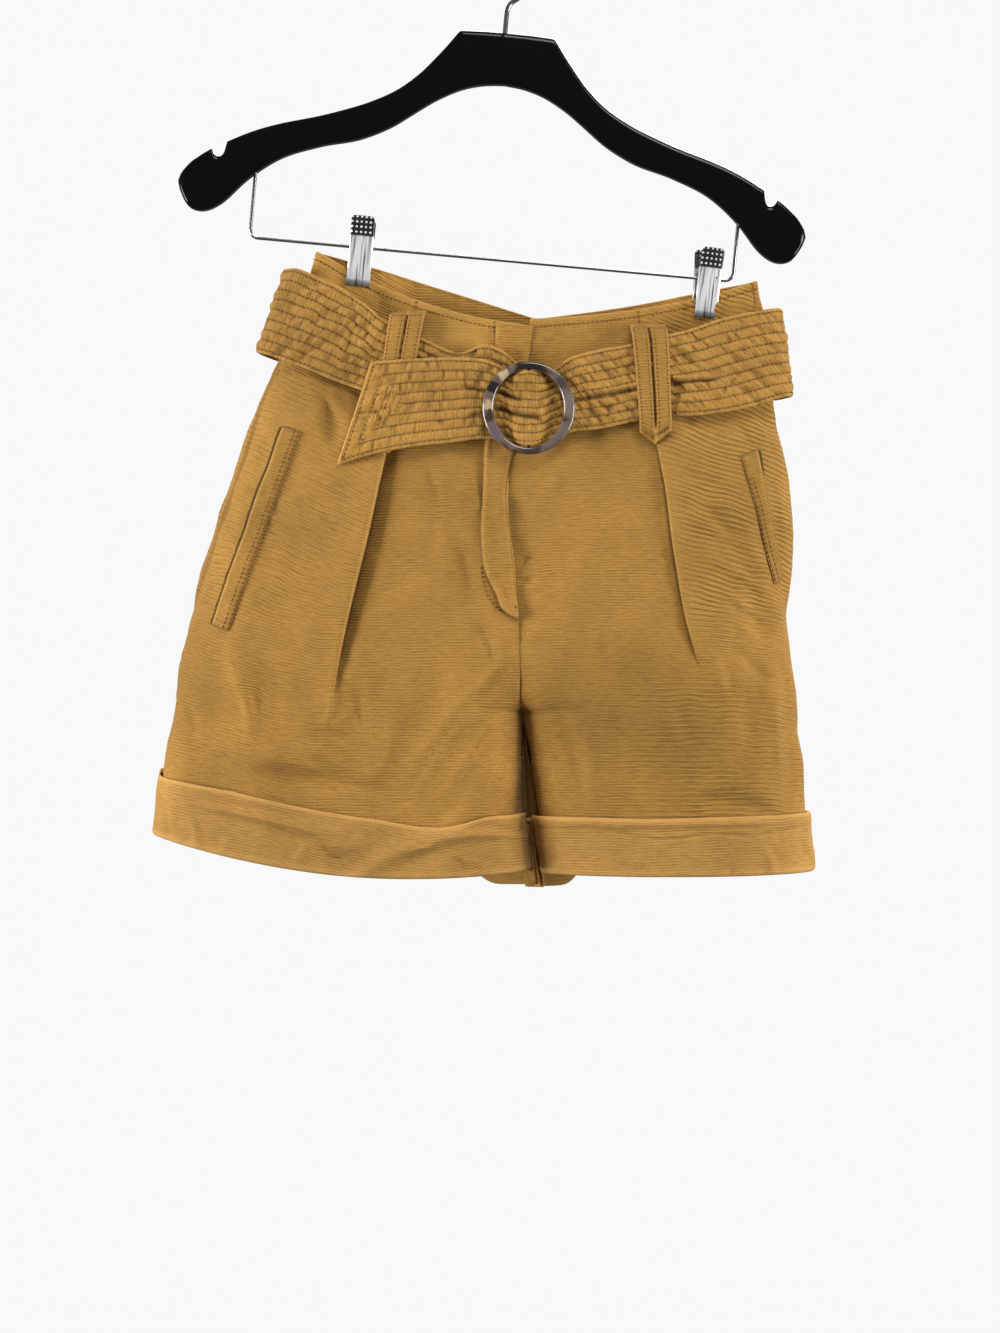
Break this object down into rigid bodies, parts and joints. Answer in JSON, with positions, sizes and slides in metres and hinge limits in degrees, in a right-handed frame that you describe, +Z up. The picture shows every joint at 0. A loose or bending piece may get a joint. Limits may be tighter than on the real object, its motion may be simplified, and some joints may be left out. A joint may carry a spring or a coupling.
{
  "type": "belted shorts on a clip hanger",
  "caption": "High-waist pleated cotton shorts with turned-up cuffs, a quilted belt and a resin ring buckle, hung by metal clips from a plastic hanger.",
  "frame": {"origin": "the seat of the hanger's hook, where a rod carries it", "axes": "+Z up, -Y out of the front of the shorts, +X towards the wearer's left"},
  "size_m": [0.4692, 0.1114, 0.6714],
  "materials": {
    "cotton": "matte ochre cotton with fine cross ribs",
    "quilted_cotton": "the same cotton, quilted by long rows of stitching",
    "horn_resin": "polished resin, marbled brown, cream and black like horn",
    "black_plastic": "glossy black moulded plastic",
    "chrome": "bright plated steel, brushed on the clips"
  },
  "bodies": {
    "root": {"front_right": "cotton", "front_left": "cotton", "back_right": "cotton", "back_left": "cotton", "cuff_right_front": "cotton", "cuff_right_back": "cotton", "cuff_left_front": "cotton", "cuff_left_back": "cotton", "fly": "cotton", "pocket_welt_right": "cotton", "pocket_welt_left": "cotton", "belt_loop_right": "cotton", "belt_loop_left": "cotton", "belt_loop_back_right": "cotton", "belt_loop_back_left": "cotton", "belt_right": "quilted_cotton", "belt_left": "quilted_cotton", "belt_back": "quilted_cotton", "buckle_ring": "horn_resin", "hanger": "black_plastic", "hook": "chrome", "clip_bar": "chrome", "clip_right": "chrome", "clip_left": "chrome"}
  },
  "joints": []
}
